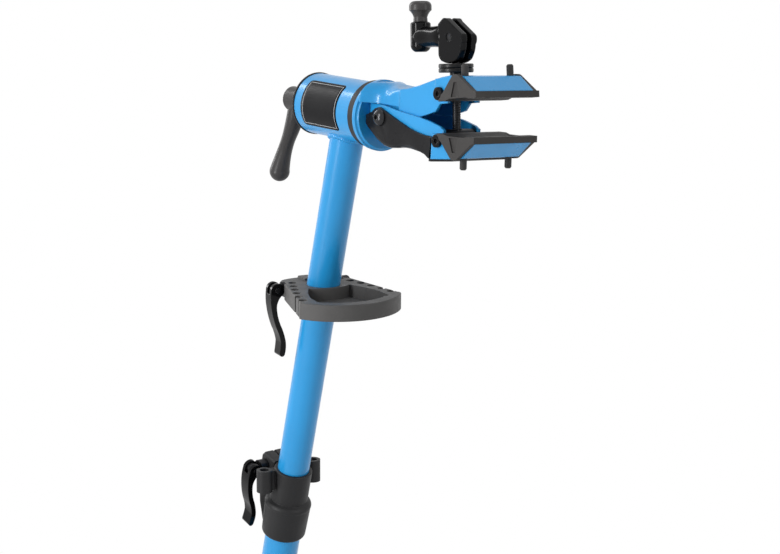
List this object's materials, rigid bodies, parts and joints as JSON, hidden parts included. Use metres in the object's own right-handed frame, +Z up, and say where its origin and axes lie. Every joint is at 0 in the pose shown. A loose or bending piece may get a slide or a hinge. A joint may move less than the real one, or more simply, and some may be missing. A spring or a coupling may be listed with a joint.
{
  "type": "bicycle repair stand",
  "caption": "Folding two-leg repair stand: leaning telescopic mast, sliding tool tray, quick-release collars and a turning head whose cam lever closes two padded jaws.",
  "frame": {"origin": "the centre of the mast foot's flat sole, on the floor, where the mast's axis meets it", "axes": "+Z up, +X forward over the legs towards the jaws, +Y to the stand's left"},
  "size_m": [0.7467, 1.0924, 1.4568],
  "materials": {
    "blue_paint": "gloss powder coat",
    "black_plastic": "satin moulded",
    "black_rubber": "matte moulded",
    "black_painted_metal": "satin powder coat",
    "dark_steel": "black oxide",
    "bright_steel": "bright zinc"
  },
  "bodies": {
    "base": {"lower_tube": "blue_paint", "mast_foot": "black_plastic", "foot_bracket": "black_plastic", "bracket_bolts": "dark_steel", "height_collar": "black_plastic", "height_skewer": "dark_steel"},
    "height_lever": {"height_lever": "black_painted_metal"},
    "leg_collar": {"leg_collar": "black_plastic", "leg_skewer": "dark_steel", "leg_bolts": "dark_steel"},
    "leg_lever": {"leg_lever": "black_painted_metal"},
    "leg_left": {"leg_tube_left": "blue_paint", "leg_plug_left": "black_plastic", "leg_foot_left": "black_rubber", "brace_boss_left": "black_plastic"},
    "leg_right": {"leg_tube_right": "blue_paint", "leg_plug_right": "black_plastic", "leg_foot_right": "black_rubber", "brace_boss_right": "black_plastic"},
    "brace_left": {"brace_left": "black_painted_metal", "brace_rivet_left": "dark_steel"},
    "brace_right": {"brace_right": "black_painted_metal", "brace_rivet_right": "dark_steel"},
    "upper_mast": {"upper_tube": "blue_paint", "slide_bush": "black_plastic", "barrel": "blue_paint", "rear_cap": "black_plastic", "front_bush": "black_plastic"},
    "tray": {"tool_tray": "black_plastic", "tray_skewer": "dark_steel"},
    "tray_lever": {"tray_lever": "black_painted_metal"},
    "head": {"head_casting": "blue_paint", "head_spindle": "dark_steel", "upper_jaw": "blue_paint", "upper_jaw_cover": "black_rubber", "upper_cover_screws": "dark_steel", "jaw_pivot_bolt": "bright_steel"},
    "lock_handle": {"lock_handle": "black_plastic"},
    "lower_jaw": {"lower_jaw": "blue_paint", "lower_arm": "black_painted_metal", "lower_jaw_cover": "black_rubber", "lower_cover_screws": "dark_steel"},
    "thrust_washers": {"seat_washer": "dark_steel", "thrust_washer": "dark_steel"},
    "barrel_nut": {"barrel_nut": "dark_steel"},
    "clamp_rod": {"clamp_rod": "dark_steel", "cam_pin": "dark_steel"},
    "cam_lever": {"cam_lever": "black_painted_metal", "spinner_stud": "dark_steel"},
    "spinner_knob": {"spinner_knob": "black_painted_metal"}
  },
  "joints": [
    {"name": "height_slide", "type": "slide", "parent": "base", "child": "upper_mast", "axis": [0.2529, 0, 0.9675], "range_m": [-0.15, 0.11]},
    {"name": "height_lever_flip", "type": "hinge", "parent": "base", "child": "height_lever", "pos_m": [0.19157, -0.0335, 0.87913], "axis": [0.9675, 0, -0.2529], "range_deg": [-165, 0]},
    {"name": "leg_collar_slide", "type": "slide", "parent": "base", "child": "leg_collar", "axis": [0.2529, 0, 0.9675], "range_m": [0, 0.2125]},
    {"name": "leg_lever_flip", "type": "hinge", "parent": "leg_collar", "child": "leg_lever", "pos_m": [0.10271, -0.0235, 0.5313], "axis": [0.9675, 0, -0.2529], "range_deg": [-155, 0]},
    {"name": "leg_fold_left", "type": "hinge", "parent": "leg_collar", "child": "leg_left", "pos_m": [0.16859, 0.02586, 0.51407], "axis": [-0.5956, 0.788, 0.1557], "range_deg": [-0.5, 66.5]},
    {"name": "brace_fold_left", "type": "hinge", "parent": "base", "child": "brace_left", "pos_m": [0.05627, 0.02093, 0.10932], "axis": [-0.5956, 0.788, 0.1557], "range_deg": [-34.52, 0.5]},
    {"name": "leg_fold_right", "type": "hinge", "parent": "leg_collar", "child": "leg_right", "pos_m": [0.16859, -0.02586, 0.51407], "axis": [0.5956, 0.788, -0.1557], "range_deg": [-0.5, 66.5]},
    {"name": "brace_fold_right", "type": "hinge", "parent": "base", "child": "brace_right", "pos_m": [0.05627, -0.02093, 0.10932], "axis": [0.5956, 0.788, -0.1557], "range_deg": [-34.52, 0.5]},
    {"name": "tray_slide", "type": "slide", "parent": "upper_mast", "child": "tray", "axis": [0.2529, 0, 0.9675], "range_m": [0, 0.11]},
    {"name": "tray_lever_flip", "type": "hinge", "parent": "tray", "child": "tray_lever", "pos_m": [0.25448, -0.04066, 1.1143], "axis": [0.9833, -0.1822, 0], "range_deg": [-165, 0]},
    {"name": "head_rotation", "type": "hinge", "parent": "upper_mast", "child": "head", "pos_m": [0.34776, 0, 1.3303], "axis": [1, 0, 0], "continuous": true},
    {"name": "lock_handle_turn", "type": "hinge", "parent": "head", "child": "lock_handle", "pos_m": [0.23776, 0, 1.3303], "axis": [1, 0, 0], "range_deg": [-180, 180]},
    {"name": "jaw_pivot", "type": "hinge", "parent": "head", "child": "lower_jaw", "pos_m": [0.43526, 0.00012, 1.33229], "axis": [0, 0.9983, -0.0583], "range_deg": [-8, 14]},
    {"name": "rod_tilt", "type": "hinge", "parent": "head", "child": "thrust_washers", "pos_m": [0.52556, 0.00291, 1.38021], "axis": [0, 0.9983, -0.0583], "range_deg": [-3.24, 5.44]},
    {"name": "barrel_nut_turn", "type": "hinge", "parent": "lower_jaw", "child": "barrel_nut", "pos_m": [0.53194, -0.00041, 1.32331], "axis": [0, 0.9983, -0.0583], "range_deg": [-9.26, 5.46]},
    {"name": "clamp_rod_spin", "type": "hinge", "parent": "thrust_washers", "child": "clamp_rod", "pos_m": [0.52556, 0.00291, 1.38021], "axis": [-0.1113, 0.0579, 0.9921], "continuous": true},
    {"name": "cam_lever_flip", "type": "hinge", "parent": "clamp_rod", "child": "cam_lever", "pos_m": [0.52066, 0.00546, 1.42386], "axis": [0, 0.9983, -0.0583], "range_deg": [0, 90]},
    {"name": "spinner_knob_turn", "type": "hinge", "parent": "cam_lever", "child": "spinner_knob", "pos_m": [0.46113, 0.00607, 1.43429], "axis": [-0.1113, 0.0579, 0.9921], "continuous": true}
  ],
  "couplings": [
    {"joint": "leg_fold_left", "follows": "leg_collar_slide", "rad_per_m": 5.3741},
    {"joint": "brace_fold_left", "follows": "leg_collar_slide", "rad_per_m": -2.7699},
    {"joint": "leg_fold_right", "follows": "leg_collar_slide", "rad_per_m": 5.3741},
    {"joint": "brace_fold_right", "follows": "leg_collar_slide", "rad_per_m": -2.7699},
    {"joint": "rod_tilt", "follows": "jaw_pivot", "ratio": 0.367},
    {"joint": "barrel_nut_turn", "follows": "jaw_pivot", "ratio": -0.633}
  ]
}
